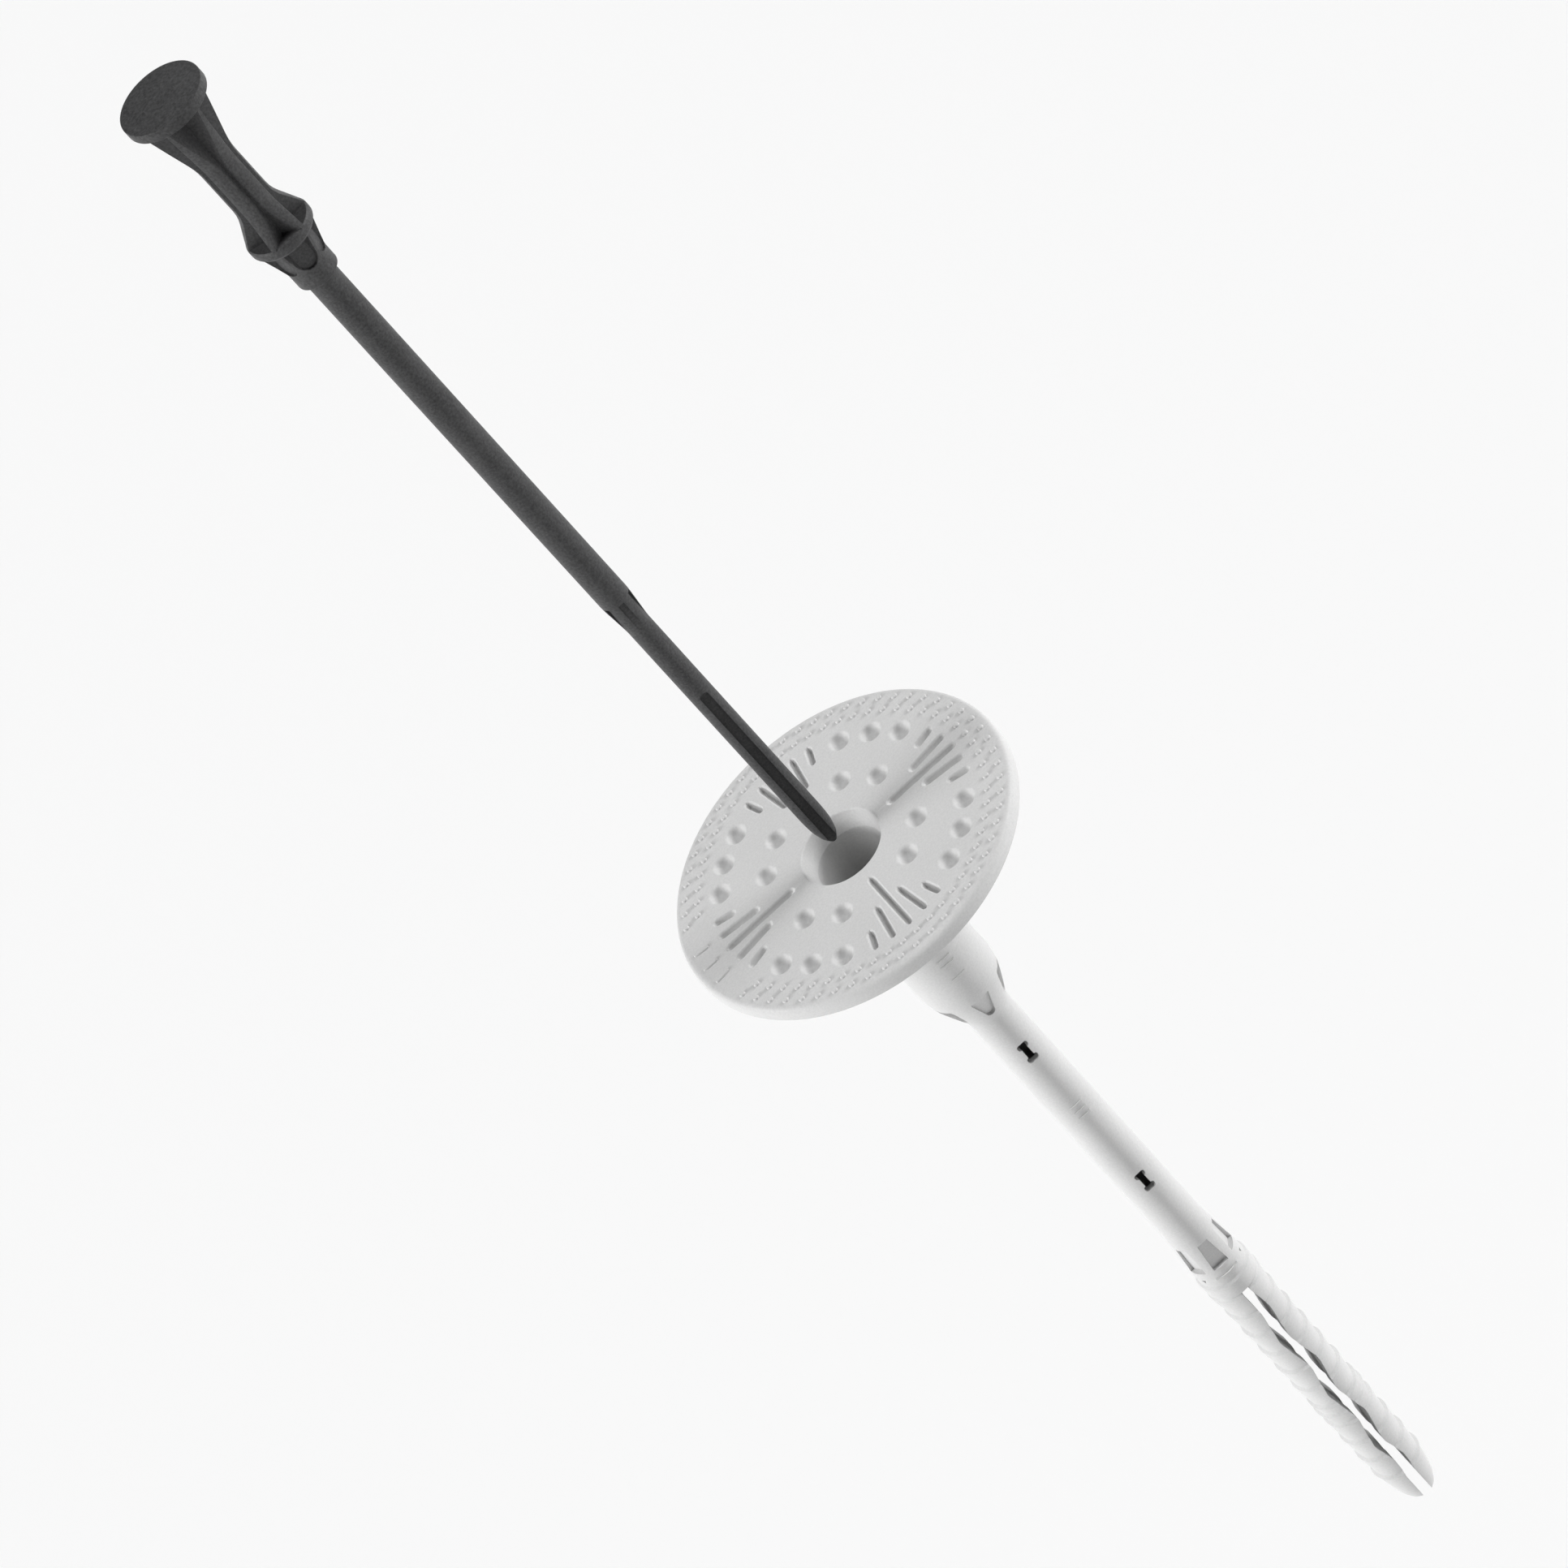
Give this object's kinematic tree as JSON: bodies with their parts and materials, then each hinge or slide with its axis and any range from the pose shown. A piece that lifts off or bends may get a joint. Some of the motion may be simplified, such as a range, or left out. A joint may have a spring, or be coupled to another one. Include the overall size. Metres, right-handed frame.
{
  "type": "wall anchor",
  "caption": "Plastic hammer-in insulation anchor: a ribbed sleeve with a round pressure plate and split expansion end, and a fluted drive pin.",
  "frame": {"origin": "centre of the pressure plate's underside, on the sleeve's axis, where the plate meets the board", "axes": "+Z along the sleeve's axis, out of the wall towards the hammered head; +X across the slit, from the left leg to the right leg"},
  "size_m": [0.06, 0.06, 0.382],
  "materials": {
    "sleeve_plastic": "satin",
    "pin_plastic": "matte"
  },
  "bodies": {
    "sleeve": {"pressure_plate": "sleeve_plastic", "funnel_collar": "sleeve_plastic", "sleeve_shank": "sleeve_plastic"},
    "pin": {"drive_pin": "pin_plastic"},
    "leg_left": {"expansion_leg_left": "sleeve_plastic"},
    "leg_right": {"expansion_leg_right": "sleeve_plastic"}
  },
  "joints": [
    {"name": "pin_drive", "type": "slide", "parent": "sleeve", "child": "pin", "axis": [0, 0, -1], "range_m": [0, 0.1814]},
    {"name": "leg_left_flex", "type": "hinge", "parent": "sleeve", "child": "leg_left", "pos_m": [-0.0027, 0, -0.1252], "axis": [0, 1, 0], "range_deg": [0, 1.31]},
    {"name": "leg_right_flex", "type": "hinge", "parent": "sleeve", "child": "leg_right", "pos_m": [0.0027, 0, -0.1252], "axis": [0, -1, 0], "range_deg": [0, 1.31]}
  ],
  "couplings": [
    {"joint": "leg_left_flex", "follows": "pin_drive", "rad_per_m": 0.1251},
    {"joint": "leg_right_flex", "follows": "pin_drive", "rad_per_m": 0.1251}
  ]
}
